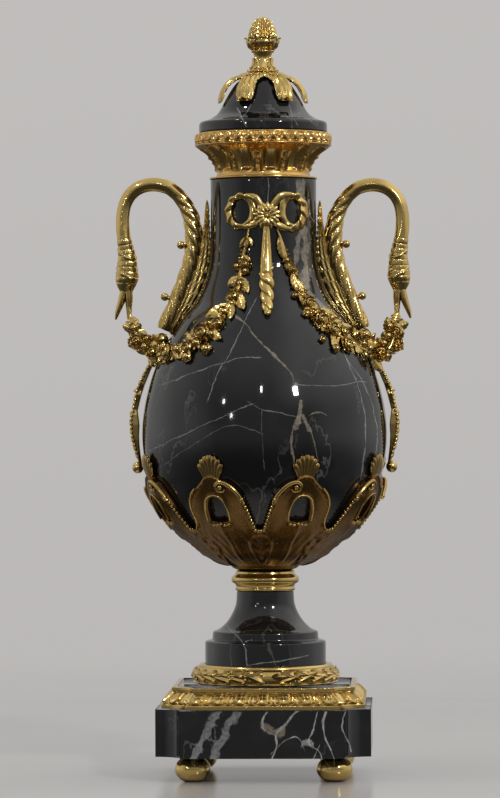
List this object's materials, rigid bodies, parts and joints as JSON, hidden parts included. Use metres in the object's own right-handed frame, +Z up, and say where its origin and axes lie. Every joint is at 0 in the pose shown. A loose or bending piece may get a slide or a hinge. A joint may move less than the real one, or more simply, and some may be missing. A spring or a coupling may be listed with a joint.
{
  "type": "mantel urn",
  "caption": "Covered pear-shaped marble urn on a turned foot and square plinth, with cast gilt mounts, swan-neck handles and garlands.",
  "frame": {"origin": "middle of the footprint, on the surface the four feet stand on", "axes": "+Z up along the urn's axis; +X towards the right-hand handle; the front with its bow faces -Y"},
  "size_m": [0.2226, 0.1824, 0.565],
  "materials": {
    "marble": "polished black marble with white and tan veins",
    "gilt_bronze": "mercury-gilt bronze, burnished on the high parts and brown in the recesses"
  },
  "bodies": {
    "root": {"foot_front_left": "gilt_bronze", "foot_front_right": "gilt_bronze", "foot_back_left": "gilt_bronze", "foot_back_right": "gilt_bronze", "plinth": "marble", "plinth_step": "marble", "leaf_band": "gilt_bronze", "laurel_ring": "gilt_bronze", "socle": "marble", "stem_ring": "gilt_bronze", "leaf_cup": "gilt_bronze", "vessel": "marble", "collar": "gilt_bronze", "lid": "marble", "lid_leaves": "gilt_bronze", "finial": "gilt_bronze", "bow_front": "gilt_bronze", "bow_back": "gilt_bronze", "handle_right": "gilt_bronze", "handle_left": "gilt_bronze", "strap_right": "gilt_bronze", "strap_left": "gilt_bronze", "garland_front_right": "gilt_bronze", "garland_front_left": "gilt_bronze", "garland_back_right": "gilt_bronze", "garland_back_left": "gilt_bronze"}
  },
  "joints": []
}
